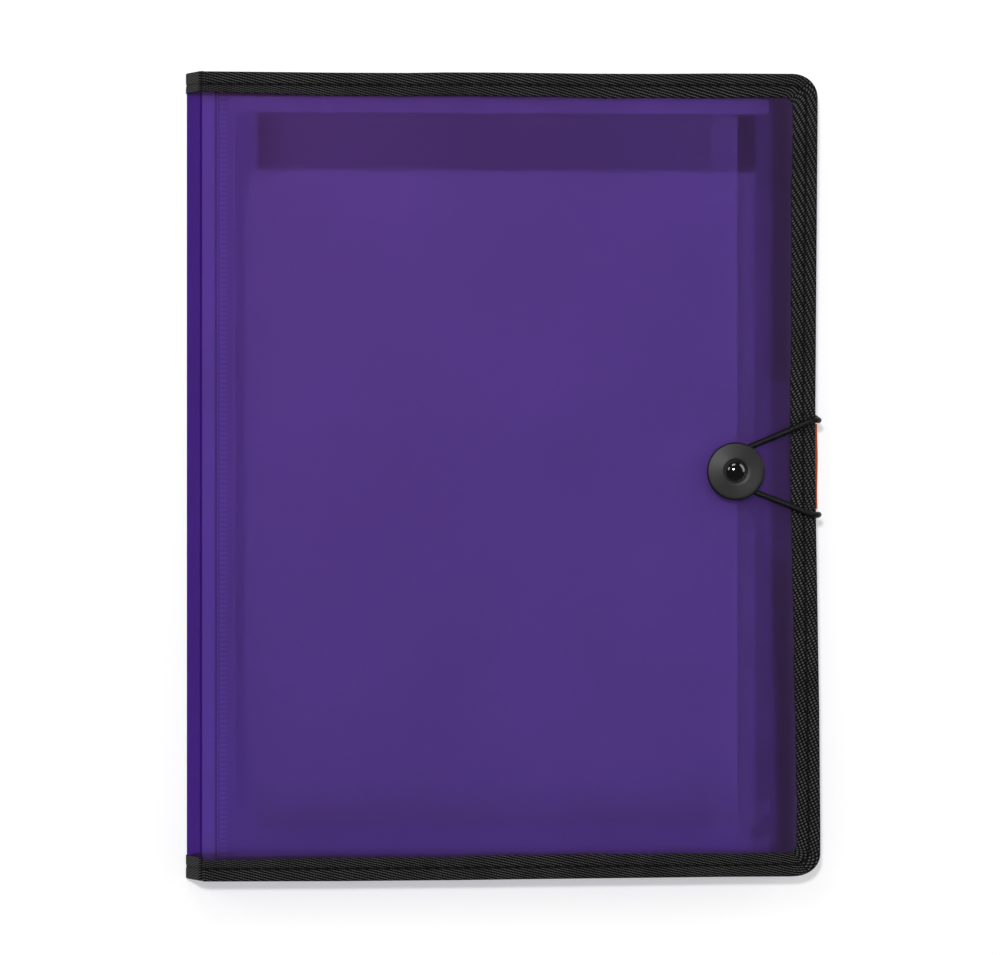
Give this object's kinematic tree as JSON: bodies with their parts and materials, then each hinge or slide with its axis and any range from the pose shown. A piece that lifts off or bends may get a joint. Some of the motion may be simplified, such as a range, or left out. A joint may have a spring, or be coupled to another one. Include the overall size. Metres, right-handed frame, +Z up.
{
  "type": "padfolio",
  "caption": "Translucent plastic padfolio with tape-bound covers, a letter pad in a pocket, tabbed divider pockets and an elastic loop that hooks over a button.",
  "frame": {"origin": "on the table under the middle of the closed padfolio", "axes": "+X from the spine to the free edge, +Y to the top of the pad, +Z up through the front cover"},
  "size_m": [0.2674, 0.3378, 0.025],
  "materials": {
    "cover_poly": "frosted translucent polypropylene",
    "clear_poly": "hazy clear polypropylene",
    "tab_poly": "hazy tinted polypropylene",
    "binding_tape": "black twill tape",
    "elastic_cord": "braided elastic",
    "tag_ribbon": "woven ribbon",
    "button_plastic": "satin moulded plastic",
    "rivet_enamel": "glossy black enamel",
    "pad_paper": "ruled writing paper",
    "pad_card": "grey backing board",
    "pad_tape": "dark paper tape",
    "hook_loop": "white hook-and-loop coin"
  },
  "bodies": {
    "back_cover": {"back_cover_sheet": "cover_poly", "back_binding": "binding_tape", "elastic_upper_end": "elastic_cord", "elastic_lower_end": "elastic_cord", "edge_tag": "tag_ribbon", "pad_pocket_panel": "clear_poly", "pocket_weld_left": "clear_poly", "pocket_weld_right": "clear_poly", "pocket_weld_bottom": "clear_poly"},
    "pad": {"pad_cardboard": "pad_card", "pad_sheets": "pad_paper", "pad_top_tape": "pad_tape"},
    "spine": {"spine_sheet": "cover_poly", "spine_binding_top": "binding_tape", "spine_binding_bottom": "binding_tape"},
    "front_cover": {"front_cover_sheet": "cover_poly", "front_binding": "binding_tape", "front_top_flap": "clear_poly", "front_bottom_flap": "clear_poly", "closure_patch": "clear_poly", "divider_flange": "clear_poly", "button_rivet": "rivet_enamel", "button_spacer": "button_plastic", "button_washer": "rivet_enamel"},
    "button": {"closure_button": "button_plastic"},
    "divider_1": {"divider_1_back_leaf": "clear_poly", "divider_1_front_leaf": "clear_poly", "divider_1_tab_strip": "tab_poly"},
    "divider_2": {"divider_2_back_leaf": "clear_poly", "divider_2_front_leaf": "clear_poly", "divider_2_tab_strip": "tab_poly", "pocket_coin": "hook_loop"},
    "divider_3": {"divider_3_back_leaf": "clear_poly", "divider_3_front_leaf": "clear_poly", "divider_3_tab_strip": "tab_poly"},
    "divider_4": {"divider_4_back_leaf": "clear_poly", "divider_4_front_leaf": "clear_poly", "divider_4_tab_strip": "tab_poly"},
    "divider_5": {"divider_5_back_leaf": "clear_poly", "divider_5_front_leaf": "clear_poly", "divider_5_tab_strip": "tab_poly"},
    "elastic_strands": {"elastic_upper_riser": "elastic_cord", "elastic_lower_riser": "elastic_cord"},
    "elastic_loop": {"elastic_loop": "elastic_cord"}
  },
  "joints": [
    {"name": "spine_hinge", "type": "hinge", "parent": "back_cover", "child": "spine", "pos_m": [-0.13351, 0, 0.001], "axis": [0, -1, 0], "range_deg": [0, 111.2]},
    {"name": "front_cover_hinge", "type": "hinge", "parent": "spine", "child": "front_cover", "pos_m": [-0.12697, 0, 0.01785], "axis": [0, -1, 0], "range_deg": [0, 67.2]},
    {"name": "pad_slide", "type": "slide", "parent": "back_cover", "child": "pad", "axis": [0, 1, 0], "range_m": [0, 0.16]},
    {"name": "button_spin", "type": "hinge", "parent": "front_cover", "child": "button", "pos_m": [0.09633, 0.0019, 0.0226], "axis": [0, 0, 1], "continuous": true},
    {"name": "divider_1_hinge", "type": "hinge", "parent": "front_cover", "child": "divider_1", "pos_m": [-0.11267, 0, 0.01613], "axis": [0, 1, 0], "range_deg": [0, 5]},
    {"name": "divider_2_hinge", "type": "hinge", "parent": "front_cover", "child": "divider_2", "pos_m": [-0.11267, 0, 0.01487], "axis": [0, 1, 0], "range_deg": [0, 10]},
    {"name": "divider_3_hinge", "type": "hinge", "parent": "front_cover", "child": "divider_3", "pos_m": [-0.11267, 0, 0.01362], "axis": [0, 1, 0], "range_deg": [0, 15]},
    {"name": "divider_4_hinge", "type": "hinge", "parent": "front_cover", "child": "divider_4", "pos_m": [-0.11267, 0, 0.01238], "axis": [0, 1, 0], "range_deg": [0, 20]},
    {"name": "divider_5_hinge", "type": "hinge", "parent": "front_cover", "child": "divider_5", "pos_m": [-0.11267, 0, 0.01112], "axis": [0, 1, 0], "range_deg": [0, 25]},
    {"name": "elastic_swing", "type": "hinge", "parent": "back_cover", "child": "elastic_strands", "pos_m": [0.12559, 0, 0.0013], "axis": [0, 1, 0], "range_deg": [0, 60.8], "deforming": ["elastic_upper_riser", "elastic_lower_riser"]},
    {"name": "elastic_unfold", "type": "hinge", "parent": "elastic_strands", "child": "elastic_loop", "pos_m": [0.13178, 0, 0.01785], "axis": [0, 1, 0], "range_deg": [0, 115.2], "deforming": ["elastic_loop"]}
  ],
  "couplings": [
    {"joint": "front_cover_hinge", "follows": "spine_hinge", "ratio": 0.6043},
    {"joint": "divider_1_hinge", "follows": "spine_hinge", "ratio": 0.0449},
    {"joint": "divider_2_hinge", "follows": "spine_hinge", "ratio": 0.0898},
    {"joint": "divider_3_hinge", "follows": "spine_hinge", "ratio": 0.1347},
    {"joint": "divider_4_hinge", "follows": "spine_hinge", "ratio": 0.1796},
    {"joint": "divider_5_hinge", "follows": "spine_hinge", "ratio": 0.2245},
    {"joint": "elastic_swing", "follows": "spine_hinge", "ratio": 0.5465},
    {"joint": "elastic_unfold", "follows": "spine_hinge", "ratio": 1.0355}
  ]
}
